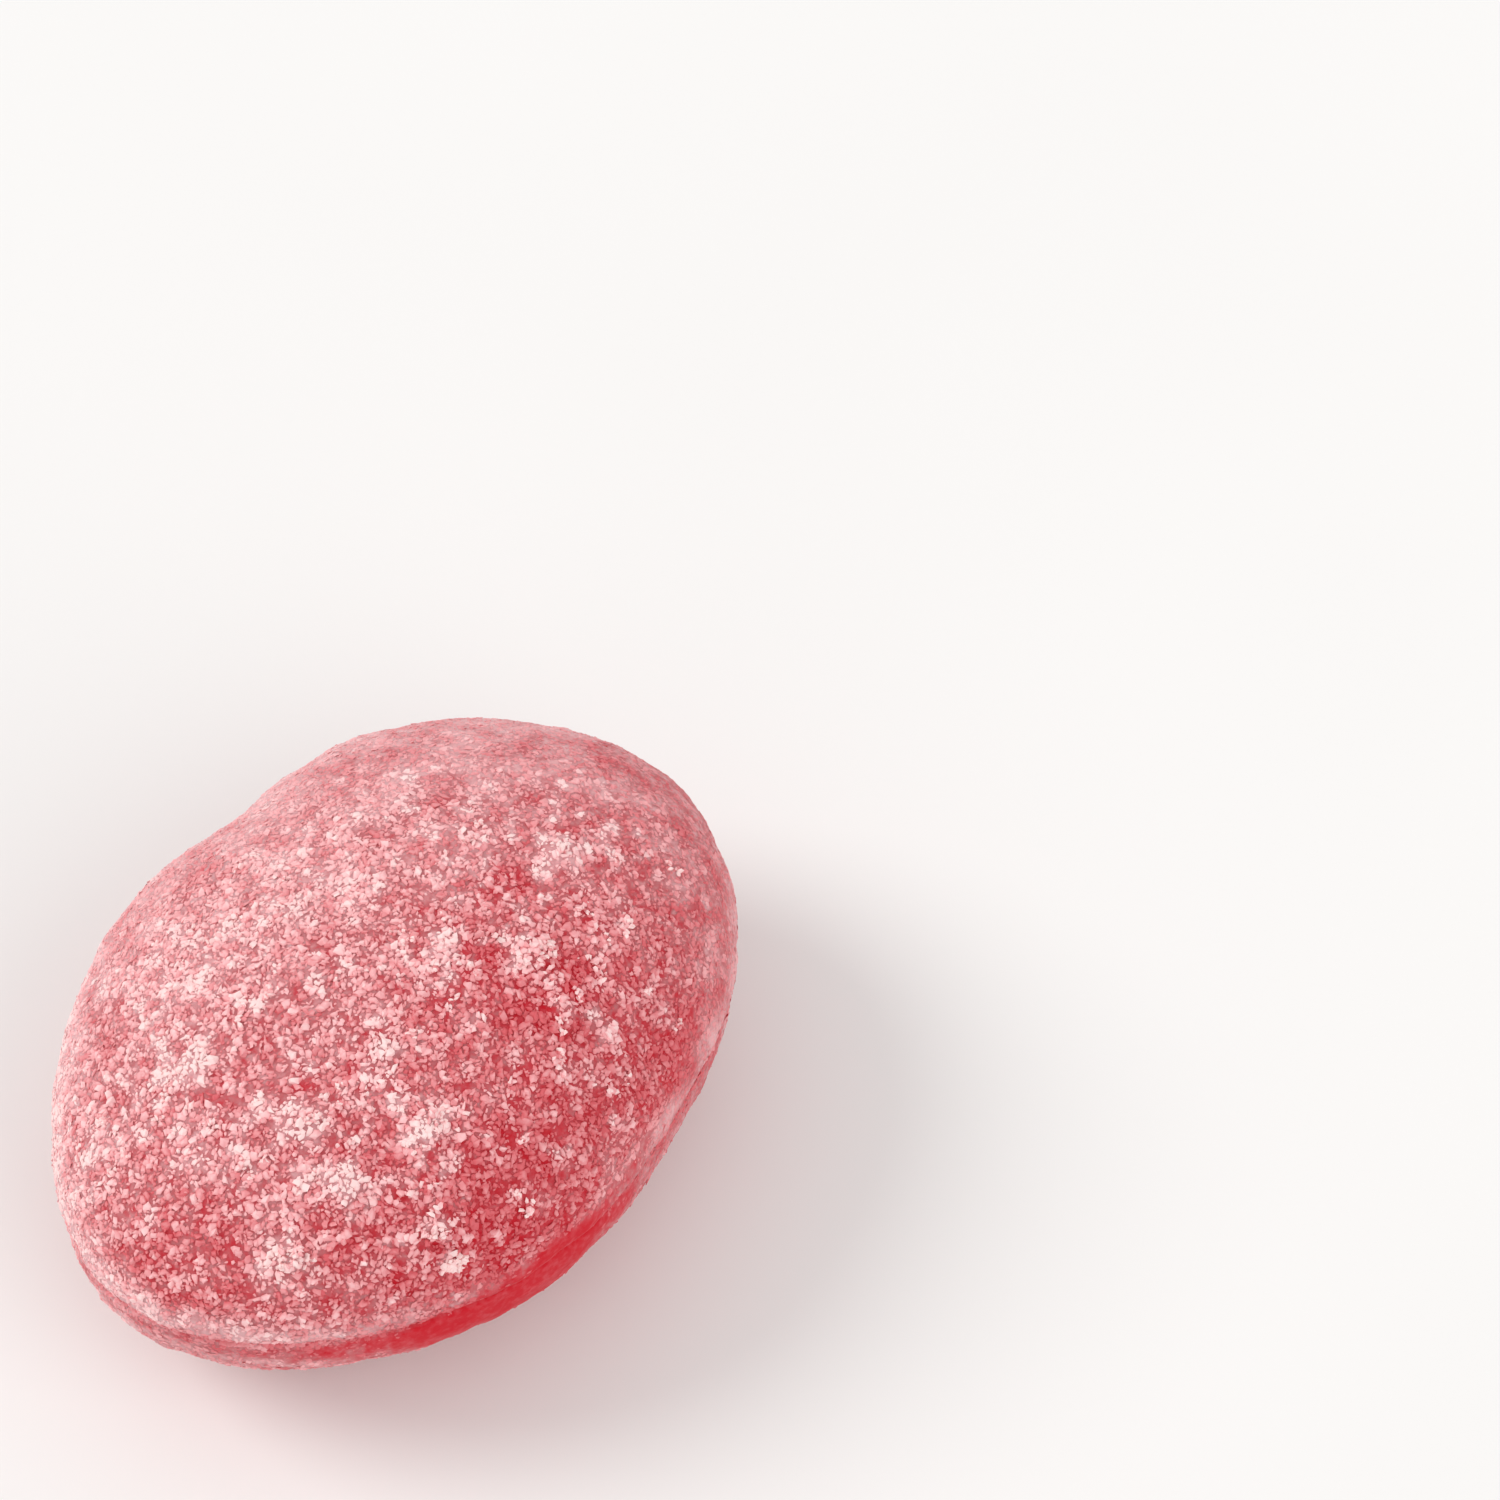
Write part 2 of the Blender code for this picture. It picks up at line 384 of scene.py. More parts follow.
def ring_points(outline, normals, level, shifted):
    """Points evenly spaced round one level, and the outline's points that they stand for."""
    share, inset, height = level
    ring = outline * share - normals * inset * share
    step = np.linalg.norm(np.roll(ring, -1, axis=0) - ring, axis=1)
    travelled = np.concatenate([[0.0], np.cumsum(step)])
    count = max(6, round(travelled[-1] / BODY_SPACING))
    places = (np.arange(count) + (0.5 if shifted else 0.0)) / count * travelled[-1]
    closed = np.vstack([ring, ring[:1]])
    edge = np.vstack([outline, outline[:1]])
    points = [np.interp(places, travelled, closed[:, axis]) for axis in (0, 1)]
    plan = [np.interp(places, travelled, edge[:, axis]) for axis in (0, 1)]
    return np.column_stack([*points, np.full(count, height)]), np.column_stack(plan)


def bridge(upper, lower):
    """Triangles between two rings of point numbers, facing out when upper is above lower."""
    faces = []
    i = 0
    j = 0
    while i < len(upper) or j < len(lower):
        here = upper[i % len(upper)]
        there = lower[j % len(lower)]
        if j >= len(lower) or (i < len(upper) and (i + 1) / len(upper) <= (j + 1) / len(lower)):
            faces.append((here, there, upper[(i + 1) % len(upper)]))
            i += 1
        else:
            faces.append((here, there, lower[(j + 1) % len(lower)]))
            j += 1
    return faces


def joined(counts):
    """Triangles between rings of that many points, and the number of the ring above each."""
    rings = [list(range(end - count, end)) for count, end in zip(counts, np.cumsum(counts))]
    faces = []
    above = []
    for number, (upper, lower) in enumerate(zip(rings, rings[1:])):
        if len(upper) == 1:
            made = [(upper[0], a, b) for a, b in zip(lower, lower[1:] + lower[:1])]
        elif len(lower) == 1:
            made = [(lower[0], b, a) for a, b in zip(upper, upper[1:] + upper[:1])]
        else:
            made = bridge(upper, lower)
        faces += made
        above += [number] * len(made)
    return np.array(faces), np.array(above)


def ways_to_groove(levels, groove, mean_radius):
    """Each level's share of the way to the groove, from the crown's top and from the rest spot."""
    radii = [share * mean_radius - inset for share, inset, _ in levels]
    heights = [height for _, _, height in levels]
    travelled = np.concatenate([[0.0], np.cumsum(np.hypot(np.diff(radii), np.diff(heights)))])
    from_foot = travelled[-1] - travelled
    return travelled / travelled[groove], from_foot / from_foot[groove]


def pressed_shape():
    """The bare drop: its points, triangles, and each triangle corner's place on the bake map."""
    outline = outline_points()
    normals = outward_normals(outline)
    mean_radius = float(np.linalg.norm(outline, axis=1).mean())
    levels, groove = meridian(mean_radius)
    middle = np.zeros((1, 2))
    rings = [(np.array([[0.0, 0.0, levels[0][2]]]), middle)]
    for number, level in enumerate(levels[1:-1], start=1):
        rings.append(ring_points(outline, normals, level, number % 2 == 0))
    rings.append((np.zeros((1, 3)), middle))
    points = np.vstack([ring for ring, _ in rings])
    plans = np.vstack([plan for _, plan in rings])
    counts = [len(ring) for ring, _ in rings]
    faces, above = joined(counts)

    # The crown's and the belly's ovals stand side by side on the map.
    corner = faces.ravel()
    level = np.repeat(np.arange(len(levels)), counts)[corner]
    on_crown = np.repeat(above < groove, 3)
    from_top, from_foot = ways_to_groove(levels, groove, mean_radius)
    way = np.where(on_crown, from_top[level], from_foot[level])
    across = plans[corner, 1] / WIDTH * way * OVAL_ON_MAP[0]
    along = plans[corner, 0] / LENGTH * way * OVAL_ON_MAP[1]
    places = np.column_stack([np.where(on_crown, 0.25, 0.75) + across, 0.5 + along])
    return points, faces, places


def point_normals(points, faces):
    """Normals of a mesh's points, from its faces by area."""
    a, b, c = (points[faces[:, i]] for i in range(3))
    across = np.cross(b - a, c - a)
    normals = np.zeros_like(points)
    for i in range(3):
        np.add.at(normals, faces[:, i], across)
    return normals / np.linalg.norm(normals, axis=1)[:, None]


# ---------------------------------------------------------------- what the crust is like

def noise_at(points, size, place=0.0):
    """Smooth noise from about -1 to 1, with lumps of that size, read at that place in the noise."""
    return np.array([noise.noise(Vector(point / size + place)) for point in points])


def radii_away(points, x, y, radius):
    """How many radii each point is from the crown's point at (x, y), which are in millimetres."""
    crown = points[points[:, 2] > SEAM_HEIGHT]
    centre = crown[np.argmin(np.hypot(crown[:, 0] - x * MM, crown[:, 1] - y * MM))]
    return np.linalg.norm(points - centre, axis=1) / (radius * MM)


def turn_from(points, direction):
    """Each point's direction from the middle, in radians on from the given one."""
    turn = np.arctan2(points[:, 1], points[:, 0]) - direction
    return (turn + math.pi) % (2.0 * math.pi) - math.pi


def cluster_share(points):
    """How far inside a sugar cluster each point is, from 0 to 1, and the rise of the clusters."""
    inside = np.zeros(len(points))
    rise = np.zeros(len(points))
    ragged = 1.0 + CLUSTER_RAG_SHARE * noise_at(points, CLUSTER_RAG, CLUSTER_RAG_PLACE)
    for x, y, radius in CROWN_CLUSTERS:
        away = radii_away(points, x, y, radius)
        rise += CLUSTER_RISE * radius * MM * np.clip(1.0 - away**2, 0.0, 1.0) ** 2
        inside = np.maximum(inside, np.clip(CLUSTER_FILL - (away * ragged) ** 2, 0.0, 1.0))
    return inside, rise


def bare_stretch(points, tail=BARE_SPREAD):
    """How near each point is, in its direction from the middle, to the bare stretch of band."""
    turn = turn_from(points, BARE_DIRECTION)
    return np.exp(-((turn / np.where(turn < 0.0, tail, BARE_SPREAD)) ** 2))


def bareness(points):
    """How bare the candy is, from 0, sugared, to 1: one stretch of the band and close to it."""
    above_lip = points[:, 2] - SEAM_HEIGHT
    under_band = -SIDE_BAND - above_lip
    climb = BARE_SLOPE * np.sin(turn_from(points, BARE_DIRECTION))
    border = np.maximum(BARE_FROM + climb, BARE_LOWEST)
    away = np.maximum((above_lip - border) / BARE_ABOVE, 0.0)
    away += np.maximum(under_band / BARE_BELOW, 0.0)
    rag = BARE_RAG_SHARE * noise_at(points, BARE_RAG, BARE_RAG_PLACE)
    return np.clip(BAREST * bare_stretch(points, BARE_TAIL) - away + rag, 0.0, 1.0)


def softness(points):
    """How fine and even the sugar is, from 0 to 1: most at the lip and below it."""
    along = points[:, 0] * math.cos(SOFT_DIRECTION) + points[:, 1] * math.sin(SOFT_DIRECTION)
    toward = np.clip(0.5 + along / (LENGTH + WIDTH) * 2.0, 0.0, 1.0) ** 2
    shortest, longest = SOFT_REACH
    reach = shortest + (longest - shortest) * toward
    above_lip = points[:, 2] - SEAM_HEIGHT
    near_lip = np.exp(-((above_lip / np.where(above_lip > 0.0, reach, SOFT_BELOW)) ** 2))
    smooth = np.exp(-((turn_from(points, SMOOTH_DIRECTION) / SMOOTH_SPREAD) ** 2))
    return near_lip * (LEAST_SOFT + (1.0 - LEAST_SOFT) * np.maximum(toward, smooth))


def lip_frost_and_sheen(points):
    """How much of the lip's pale edge, frost and painted sheen, each point has. It is over 1 on the key
    light's side, where the edge is painted rim light.
    """
    above_lip = points[:, 2] - SEAM_HEIGHT
    # Painted rim light: the edge is wider and paler on the side the key light comes from.
    rim_light_facing = np.clip(np.cos(turn_from(points, RIM_LIGHT_SIDE)), 0.0, 1.0) ** 2
    width = LIP_WIDTH * (1.0 + RIM_LIGHT_WIDER * rim_light_facing)
    edge = np.clip(EDGE_FADE - EDGE_FADE * above_lip / width, 0.0, 1.0)
    return edge * (above_lip > -LIP_UNDER) * (1.0 + RIM_LIGHT_PALER * rim_light_facing)


def paleness(points, clusters):
    """How pale the sugar is, from 0 to PALEST: drier and thicker sugar, and painted light."""
    across = points[:, 1] / (WIDTH / 2)
    along = points[:, 0] / (LENGTH / 2)
    # Paler towards +Y: partly thicker, drier sugar, partly painted light from the key light's side.
    pale = PALE_MIDDLE + PALE_AND_LIT_ACROSS * across + PALE_ALONG * along
    for size, share, place in PALE_NOISES:
        pale += share * noise_at(points, size, place)
    for x, y, radius, paler in CROWN_SPOTS:
        pale += paler * np.exp(-(radii_away(points, x, y, radius) ** 2))
    pale += PALE_IN_CLUSTER * clusters
    above_lip = points[:, 2] - SEAM_HEIGHT
    on_band = np.clip(EDGE_FADE - np.abs(above_lip + SIDE_BAND / 2) / (SIDE_BAND / 2), 0.0, 1.0)
    stretch = bare_stretch(points)
    # The lip's frost and painted sheen, with painted rim light on the key light's side.
    pale += FROST_AND_SHEEN_AT_LIP * lip_frost_and_sheen(points) * (1.0 - stretch)
    pale -= PALE_OFF_BAND * on_band * (1.0 + stretch)
    pale -= PALE_OFF_STRETCH * stretch * np.exp(-((above_lip / STRETCH_REACH) ** 2))
    return np.clip(pale, 0.0, PALEST)


# ---------------------------------------------------------------- meshes

def mesh_object(name, points, faces, corner_places, values, material, smooth):
    """An object with a bake map and named point values."""
    data = bpy.data.meshes.new(name)
    data.vertices.add(len(points))
    data.vertices.foreach_set("co", points.ravel().astype(np.float32))
    data.loops.add(faces.size)
    data.loops.foreach_set("vertex_index", faces.ravel().astype(np.int32))
    data.polygons.add(len(faces))
    data.polygons.foreach_set("loop_start", np.arange(0, faces.size, 3, dtype=np.int32))
    data.update(calc_edges=True)
    layer = data.uv_layers.new(name="OFBake")
    layer.uv.foreach_set("vector", corner_places.ravel().astype(np.float32))
    for key, value in values.items():
        attribute = data.attributes.new(key, "FLOAT", "POINT")
        attribute.data.foreach_set("value", value.astype(np.float32))
    if smooth:
        data.shade_smooth()
    else:
        data.shade_flat()
    data.materials.append(material)
    data.validate()
    made = bpy.data.objects.new(name, data)
    bpy.context.scene.collection.objects.link(made)
    return made


def unit(vectors):
    return vectors / np.linalg.norm(vectors, axis=-1, keepdims=True)


def scatter(points, faces, values, chance, draw):
    """At most one place on each of the body's triangles, kept by the chance that holds there."""
    weights = draw.dirichlet((1.5, 1.5, 1.5), len(faces))
    corners = points[faces]
    places = np.einsum("ij,ijk->ik", weights, corners)
    normals = unit(np.cross(corners[:, 1] - corners[:, 0], corners[:, 2] - corners[:, 0]))
    found = {key: np.einsum("ij,ij->i", weights, value[faces]) for key, value in values.items()}
    stays = draw.random(len(faces)) < chance(places, found)
    return places[stays], normals[stays], {key: value[stays] for key, value in found.items()}


def crystal_shape():
    """One crystal's points, its triangles, and their corners' places in its cell of the map."""
    turn = np.arange(CRYSTAL_SIDES) * 2.0 * math.pi / CRYSTAL_SIDES
    circle = np.column_stack([np.cos(turn), np.sin(turn)])
    foot = np.column_stack([circle, np.full(CRYSTAL_SIDES, -1.0)])
    shoulder = np.column_stack([SHOULDER_RADIUS * circle, np.full(CRYSTAL_SIDES, SHOULDER_HEIGHT)])
    points = np.vstack([foot, shoulder, [(0.0, 0.0, 1.0)]])
    top = 2 * CRYSTAL_SIDES
    outer = 0.5 + FOOT_ON_MAP * circle
    inner = 0.5 + SHOULDER_ON_MAP * circle
    under = np.array(UNDERSIDE_PLACE) + UNDERSIDE_ON_MAP * circle
    faces = []
    places = []
    for i in range(CRYSTAL_SIDES):
        j = (i + 1) % CRYSTAL_SIDES
        faces += [(i, j, j + CRYSTAL_SIDES), (i, j + CRYSTAL_SIDES, i + CRYSTAL_SIDES)]
        places += [outer[i], outer[j], inner[j], outer[i], inner[j], inner[i]]
        faces.append((i + CRYSTAL_SIDES, j + CRYSTAL_SIDES, top))
        places += [inner[i], inner[j], (0.5, 0.5)]
    for i in range(1, CRYSTAL_SIDES - 1):
        faces.append((i + 1, i, 0))
        places += [under[i + 1], under[i], under[0]]
    return points, np.array(faces), np.array(places)


def cells(count, corners):
    """The corners' places on the bake map for that many crystals, each in a cell of its own."""
    columns = math.ceil(math.sqrt(count / CELL_WIDTH))
    rows = math.ceil(count / columns)
    cell = np.column_stack([np.arange(count) % columns, np.arange(count) // columns])
    within = corners / np.array([CELL_WIDTH, 1.0])
    return ((cell[:, None] + within[None]) / np.array([columns, rows])).reshape(-1, 2)


def crystal_piece(name, crystals, tilt, material, draw):
    """One piece of many crystals, each an uneven lump with its long side near the surface. For
    each crystal the dictionary gives its place, normal, length, flatness, white and sink."""
    shape, shape_faces, shape_corners = crystal_shape()
    normals = crystals["normal"]
    count = len(normals)
    lean = np.clip(draw.normal(0.0, 1.0, (count, 3)), -MOST_LEAN, MOST_LEAN)
    up = unit(normals + lean * (tilt * crystals["flatness"])[:, None])
    first = unit(np.cross(up, draw.normal(0.0, 1.0, (count, 3))))
    second = np.cross(up, first)
    half_length = crystals["length"] / 2
    half_width = half_length * draw.uniform(*CRYSTAL_WIDTH, count)
    half_height = half_width * draw.uniform(*CRYSTAL_HEIGHT, count) * crystals["flatness"]
    unevenness = draw.uniform(-CRYSTAL_UNEVENNESS, CRYSTAL_UNEVENNESS, (count, len(shape), 3))
    local = (shape[None] + unevenness) * np.stack([half_length, half_width, half_height], axis=1)[:, None]
    turned = np.einsum("nki,nij->nkj", local, np.stack([first, second, up], axis=1))
    centres = crystals["place"] + normals * (half_height * (1.0 - 2.0 * crystals["sink"]))[:, None]
    points = centres[:, None] + turned
    height = np.einsum("nkj,nj->nk", points - crystals["place"][:, None], normals)
    points[:, :, 2] = np.maximum(points[:, :, 2], 0.0)
    faces = (shape_faces[None] + len(shape) * np.arange(count)[:, None, None]).reshape(-1, 3)
    # Height up the crystal, for its colour: rosier and darker at the foot, partly painted shade in the
    # crevices.
    lift = np.clip(height / LIFT_HEIGHT, 0.0, 1.0)
    values = {"white": np.repeat(crystals["white"], len(shape)), "lift": lift.ravel()}
    corners = cells(count, shape_corners)
    return mesh_object(name, points.reshape(-1, 3), faces, corners, values, material, False)


# ---------------------------------------------------------------- materials

def new_material(name):
    material = bpy.data.materials.new(name)
    material.use_nodes = True
    return material, material.node_tree.nodes, material.node_tree.links


def ramp(nodes, links, stops, position):
    """A colour that runs through the (position, colour) stops as the socket's value rises."""
    node = nodes.new("ShaderNodeValToRGB")
    elements = node.color_ramp.elements
    while len(elements) < len(stops):
        elements.new(0.5)
    for element, (place, colour) in zip(elements, stops):
        element.position = place
        element.color = (*colour, 1.0)
    links.new(position, node.inputs["Fac"])
    return node.outputs["Color"]


def noise_value(nodes, links, size, detail):
    """Noise from 0 to 1 in the object's own space, with lumps of that size."""
    place = nodes.new("ShaderNodeTexCoord").outputs["Object"]
    node = nodes.new("ShaderNodeTexNoise")
    node.inputs["Scale"].default_value = 1.0 / size
    node.inputs["Detail"].default_value = detail
    links.new(place, node.inputs["Vector"])
    return node.outputs["Fac"]


def point_value(nodes, name):
    """A value that the mesh keeps at its points."""
    node = nodes.new("ShaderNodeAttribute")
    node.attribute_name = name
    return node.outputs["Fac"]


def weighted_sum(nodes, links, start, terms):
    """The starting number and each (socket, weight) of the terms, added up."""
    total = start
    for socket, weight in terms:
        node = nodes.new("ShaderNodeMath")
        node.operation = "MULTIPLY_ADD"
        links.new(socket, node.inputs[0])
        node.inputs[1].default_value = weight
        if total is start:
            node.inputs[2].default_value = start
        else:
            links.new(total, node.inputs[2])
        total = node.outputs[0]
    return total


def candy_material():
    """Translucent red boiled sugar, hazed by a film of dissolved sugar where it isn't bare."""
    material, nodes, links = new_material("candy_body")
    shader = nodes["Principled BSDF"]
    shader.inputs["Roughness"].default_value = 0.50
    shader.inputs["Specular IOR Level"].default_value = 0.12
    shader.inputs["Subsurface Weight"].default_value = 0.40
    shader.inputs["Subsurface Radius"].default_value = (1.0, 0.20, 0.20)
    shader.inputs["Subsurface Scale"].default_value = 1.0 * MM
    haze = point_value(nodes, "haze")
    fleck = noise_value(nodes, links, CANDY_FLECK, 3.0)
    cloud = noise_value(nodes, links, CANDY_CLOUD, 2.0)
    terms = ((haze, FILM_OF_HAZE), (fleck, FILM_OF_FLECK), (cloud, FILM_OF_CLOUD))
    film = weighted_sum(nodes, links, FILM_START, terms)
    links.new(ramp(nodes, links, CANDY_STOPS, film), shader.inputs["Base Color"])
    bump = nodes.new("ShaderNodeBump")
    bump.inputs["Distance"].default_value = CANDY_BUMP
    bump.inputs["Strength"].default_value = 0.5
    links.new(fleck, bump.inputs["Height"])
    links.new(bump.outputs["Normal"], shader.inputs["Normal"])
    return material


def sugar_material(name, roughness):
    """Sugar over red candy: rosy where a crystal is soaked or sinks in, darker at its foot as painted
    shade, paler towards its top.
    """
    material, nodes, links = new_material(name)
    shader = nodes["Principled BSDF"]
    shader.inputs["Roughness"].default_value = roughness
    shader.inputs["Specular IOR Level"].default_value = 0.30
    mottle = noise_value(nodes, links, SUGAR_MOTTLE, 2.0)
    lift = point_value(nodes, "lift")
    terms = ((lift, DRY_AND_UNSHADED_OF_LIFT), (point_value(nodes, "white"), 1.0), (mottle, DRY_OF_MOTTLE))
    dry_and_lit = weighted_sum(nodes, links, DRY_START, terms)
    links.new(ramp(nodes, links, SUGAR_STOPS, dry_and_lit), shader.inputs["Base Color"])
    return material


def floor_material():
    """A pale matte floor with a faint unevenness."""
    material, nodes, links = new_material("pale_floor")
    shader = nodes["Principled BSDF"]
    shader.inputs["Roughness"].default_value = 0.85
    shader.inputs["Specular IOR Level"].default_value = 0.2
    tone = noise_value(nodes, links, FLOOR_TONE, 2.0)
    links.new(ramp(nodes, links, FLOOR_STOPS, tone), shader.inputs["Base Color"])
    return material


# ---------------------------------------------------------------- the drop

def crusted(smooth, faces, rise, bare):
    """The pressed form's points, moved to the body's own uneven surface and centred again."""
    lumps = noise_at(smooth, CRUST_LUMP) + FINE_LUMP_SHARE * noise_at(smooth, FINE_LUMP)
    grain = noise_at(smooth, BODY_GRAIN, BODY_GRAIN_PLACE) * (1.0 - GRAIN_OFF_BARE * bare)
    height = CRUST_RELIEF * lumps + rise + BODY_GRAIN_RELIEF * grain - BODY_INSET * (1.0 - bare)
    standing = smooth[:, 2] > 0.0
    points = smooth + point_normals(smooth, faces) * (height * standing)[:, None]
    points[:, 2] = np.maximum(points[:, 2], 0.0)
    middle = (points.min(axis=0) + points.max(axis=0)) / 2.0
    points[:, :2] -= middle[:2]
    return points


def make_body():
    """The candy's body, and what the sugar needs to know of it: points, faces and values."""
    smooth, faces, corners = pressed_shape()
    clusters, rise = cluster_share(smooth)
    pale = paleness(smooth, clusters)
    bare = bareness(smooth)
    soft = softness(smooth)
    points = crusted(smooth, faces, rise, bare)
    # The film follows the paleness, and so carries its painted light on the key's side and at the lip.
    haze = HAZE_OF_PALE * pale + HAZE_OF_CLUSTER * clusters + HAZE_OF_SOFT * soft
    shown = {"haze": haze * (1.0 - bare)}
    body = mesh_object("candy_body", points, faces, corners, shown, candy_material(), True)
    return body, points, faces, {"pale": pale, "bare": bare, "cluster": clusters, "soft": soft}


def crystal_cover(points, faces, values, draw):
    """Where the sugar's crystals lie, and how long, flat, white and soft each is."""
    def chance(places, found):
        fewest, most = COVER_SHARE
        cover = fewest + (most - fewest) * found["pale"]
        cover *= np.where(places[:, 2] < SEAM_HEIGHT - SIDE_BAND, BELLY_COVER, 1.0)
        sugared = np.clip(1.0 - found["bare"], 0.0, 1.0) ** BARE_COVER_POWER
        return cover * sugared * (places[:, 2] > CLEAR_OF_GROUND)

    places, normals, found = scatter(points, faces, values, chance, draw)
    soft, bare = found["soft"], found["bare"]
    shortest, longest = COVER_LENGTH
    lengths = shortest + (longest - shortest) * draw.random(len(places)) ** SHORT_POWER
    lengths *= (1.0 - SHORTER_IF_SOFT * soft) * (1.0 - SHORTER_IF_BARE * bare)
    flatness = (1.0 - FLATTER_IF_SOFT * soft) * (1.0 - FLATTER_IF_BARE * bare)
    uneven = WHITE_PATCH_SHARE * noise_at(places, WHITE_PATCH, WHITE_PATCH_PLACE)
    uneven += draw.normal(0.0, WHITE_SINGLY, len(places))
    whites = WHITE_OF_PALE * found["pale"] + WHITE_OF_CLUSTER * found["cluster"] - WHITE_OFF_BARE * bare
    whites += uneven * (1.0 - EVENER_IF_SOFT * soft) + WHITE_OF_SOFT * soft
    return {
        "place": places,
        "normal": normals,
        "length": lengths,
        "flatness": flatness,
        "white": whites,
        "soft": soft,
    }


def make_crystals(points, faces, values):
    """The sugar's cover: the four kinds of crystal, on the crown and on the belly."""
    draw = np.random.default_rng(COVER_SEED)
    crystals = crystal_cover(points, faces, values, draw)
    whites = crystals["white"]
    crown = crystals["place"][:, 2] > SEAM_HEIGHT - LIP_ROUND
    pieces = []
    for kind, least, most, sink, roughness in KINDS:
        look = sugar_material("sugar_" + kind, roughness)
        for side, there in (("crown", crown), ("belly", ~crown)):
            own = (whites > least) & (whites <= most) & there
            chosen = {key: value[own] for key, value in crystals.items()}
            chosen["sink"] = sink + SINK_IF_SOFT * chosen["soft"]
            pieces.append(crystal_piece(f"sugar_{kind}_{side}", chosen, COVER_TILT, look, draw))
    return pieces


def crumb(centre, normal, across, reach, count, draw):
    """Places of the crystals that make one crumb: a low heap, longest at right angles to across."""
    first = unit(np.cross(normal, across))
    second = np.cross(normal, first)
    spread = draw.normal(0.0, CRUMB_SPREAD, (count, 2)) * np.array(reach)
    away = np.hypot(spread[:, 0] / reach[0], spread[:, 1] / reach[1])
    height = draw.random(count) * np.clip(1.0 - away, 0.0, 1.0) * reach[1]
    return centre + spread[:, :1] * first + spread[:, 1:] * second + height[:, None] * normal


def make_crumbs(points, faces, values):
    """White crumbs of sugar, with the biggest one last."""
    draw = np.random.default_rng(CRUMB_SEED)

    def chance(places, found):
        off_rim = np.abs(places[:, 2] - SEAM_HEIGHT + SIDE_BAND) > CRUMB_OFF_RIM
        thick = CRUMB_ANYWHERE + found["pale"] + CRUMB_IN_CLUSTER * found["cluster"]
        return CRUMB_SHARE * thick * (1.0 - found["soft"]) ** 2 * off_rim

    centres, upward, _ = scatter(points, faces, values, chance, draw)
    heaps = []
    normals = []
    for centre, normal in zip(centres, upward):
        radius = draw.uniform(*CRUMB_RADIUS)
        filled = CRUMB_CRYSTALS * (radius / CRUMB_RADIUS[1]) ** CRUMB_POWER
        count = max(FEWEST_IN_CRUMB, round(filled))
        reach = (radius, radius * draw.uniform(*CRUMB_WIDTH))
        across = draw.normal(0.0, 1.0, 3)
        heaps.append(crumb(centre, normal, across, reach, count, draw))
        normals.append(np.tile(normal, (count, 1)))

    big = BIG_CRUMB_CRYSTALS
    crown = np.flatnonzero(points[:, 2] > SEAM_HEIGHT)
    nearest = crown[np.argmin(np.hypot(*(points[crown, :2] - np.array(BIG_CRUMB_PLACE)).T))]
    normal = point_normals(points, faces)[nearest]
    heaps.append(crumb(points[nearest], normal, BIG_CRUMB_ACROSS, BIG_CRUMB_REACH, big, draw))
    normals.append(np.tile(normal, (big, 1)))

    places = np.vstack(heaps)
    lengths = draw.uniform(*CRUMB_LENGTH, len(places))
    lengths[-big:] = draw.uniform(*BIG_CRUMB_LENGTH, big)
    whites = draw.normal(*CRUMB_WHITE, len(places))
    whites[-big:] += BIG_CRUMB_WHITER
    crystals = {
        "place": places,
        "normal": np.vstack(normals),
        "length": lengths,
        "flatness": np.full(len(places), CRUMB_FLATNESS),
        "white": whites,
        "sink": np.full(len(places), CRUMB_SINK),
    }
    look = sugar_material("sugar_crumb", CRUMB_ROUGHNESS)
    return crystal_piece("sugar_crumbs", crystals, CRUMB_TILT, look, draw)


# ---------------------------------------------------------------- the studio

def backward(azimuth, elevation):
    """The direction from the drop to a camera or light that stands there, in degrees."""
    turn = math.radians(azimuth)
    rise = math.radians(elevation)
    return Vector((math.sin(turn) * math.cos(rise), -math.cos(turn) * math.cos(rise), math.sin(rise)))


def make_floor():
    bpy.ops.mesh.primitive_circle_add(
        vertices=96, radius=FLOOR_RADIUS, fill_type="NGON", location=(0.0, 0.0, -FLOOR_DROP)
    )
    floor = bpy.context.object
    floor.name = "studio_floor"
    floor.data.materials.append(floor_material())


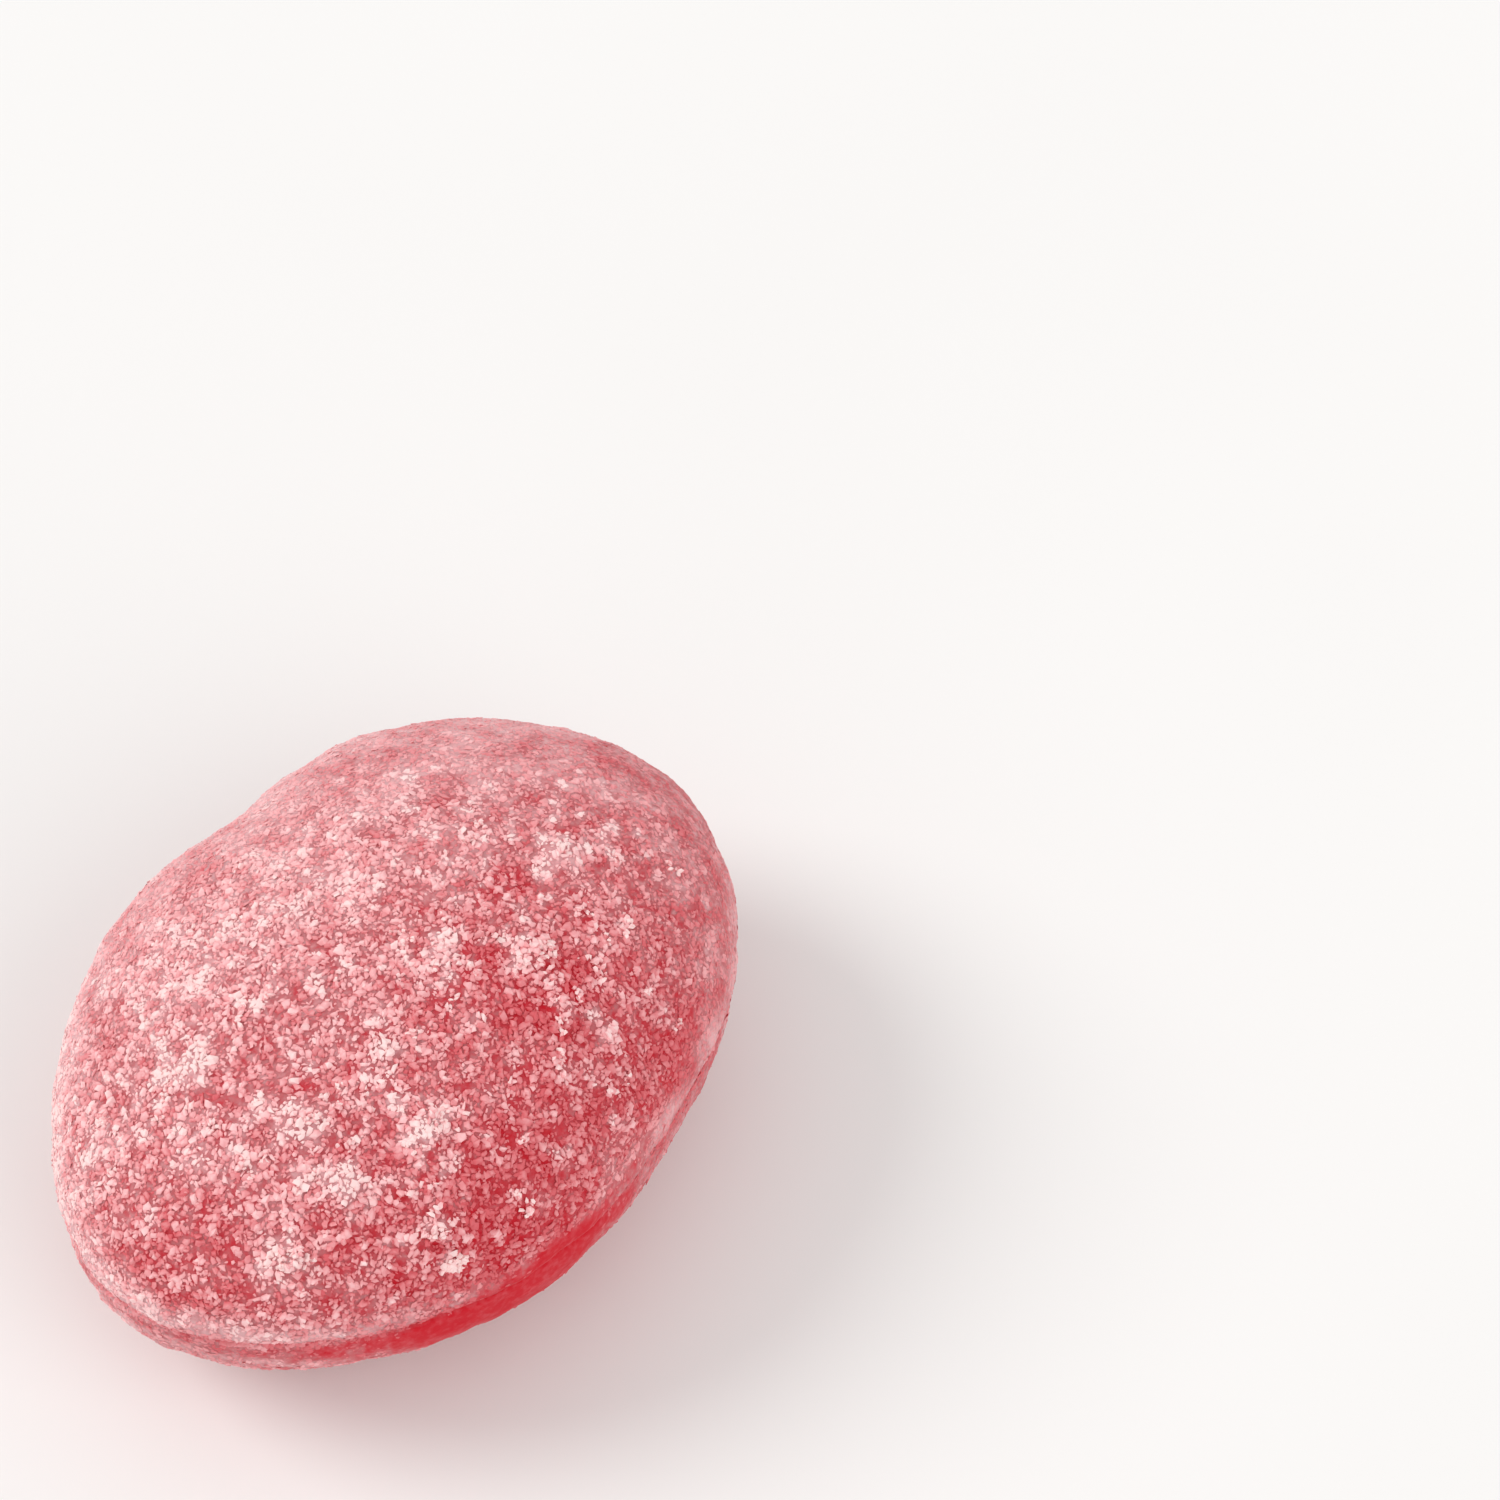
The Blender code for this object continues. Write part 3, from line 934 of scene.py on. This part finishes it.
def soft_sun(name, azimuth, elevation, spread, strength, colour):
    """A wide, soft light from a direction that is given as the camera's is."""
    data = bpy.data.lights.new(name, "SUN")
    data.angle = math.radians(spread)
    data.energy = strength
    data.color = colour
    light = bpy.data.objects.new(name, data)
    light.rotation_mode = "QUATERNION"
    light.rotation_quaternion = backward(azimuth, elevation).to_track_quat("Z", "Y")
    bpy.context.scene.collection.objects.link(light)


def make_lights():
    """Even light from all round, and the suns. The wall is seen as pale as the floor."""
    world = bpy.data.worlds.new("studio")
    world.use_nodes = True
    nodes, links = world.node_tree.nodes, world.node_tree.links
    soft = nodes["Background"]
    wall = nodes.new("ShaderNodeBackground")
    for background, strength in ((soft, STUDIO_STRENGTH), (wall, WALL_STRENGTH)):
        background.inputs["Color"].default_value = STUDIO_WHITE
        background.inputs["Strength"].default_value = strength
    seen = nodes.new("ShaderNodeLightPath").outputs["Is Camera Ray"]
    mix = nodes.new("ShaderNodeMixShader")
    links.new(seen, mix.inputs["Fac"])
    links.new(soft.outputs["Background"], mix.inputs[1])
    links.new(wall.outputs["Background"], mix.inputs[2])
    links.new(mix.outputs["Shader"], nodes["World Output"].inputs["Surface"])
    bpy.context.scene.world = world
    for name, round_from_camera, elevation, spread, strength, colour in SUNS:
        soft_sun(name, CAMERA_AZIMUTH + round_from_camera, elevation, spread, strength, colour)


def make_camera():
    back = backward(CAMERA_AZIMUTH, CAMERA_ELEVATION)
    data = bpy.data.cameras.new("photo_camera")
    data.lens = CAMERA_LENS
    data.sensor_width = 36.0
    data.clip_start = 0.005
    data.clip_end = 5.0
    camera = bpy.data.objects.new("photo_camera", data)
    camera.location = Vector(CAMERA_AIM) + back * CAMERA_DISTANCE
    camera.rotation_mode = "QUATERNION"
    camera.rotation_quaternion = back.to_track_quat("Z", "Y")
    bpy.context.scene.collection.objects.link(camera)
    bpy.context.scene.camera = camera


make_camera()
make_lights()
make_floor()

body, body_points, body_faces, body_values = make_body()
pieces = [body]
pieces += make_crystals(body_points, body_faces, body_values)
pieces.append(make_crumbs(body_points, body_faces, body_values))
for piece in pieces:
    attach(piece, "root")
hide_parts("candy_drop")

scene = bpy.context.scene
scene.view_settings.view_transform = "Standard"
scene.view_settings.look = "None"
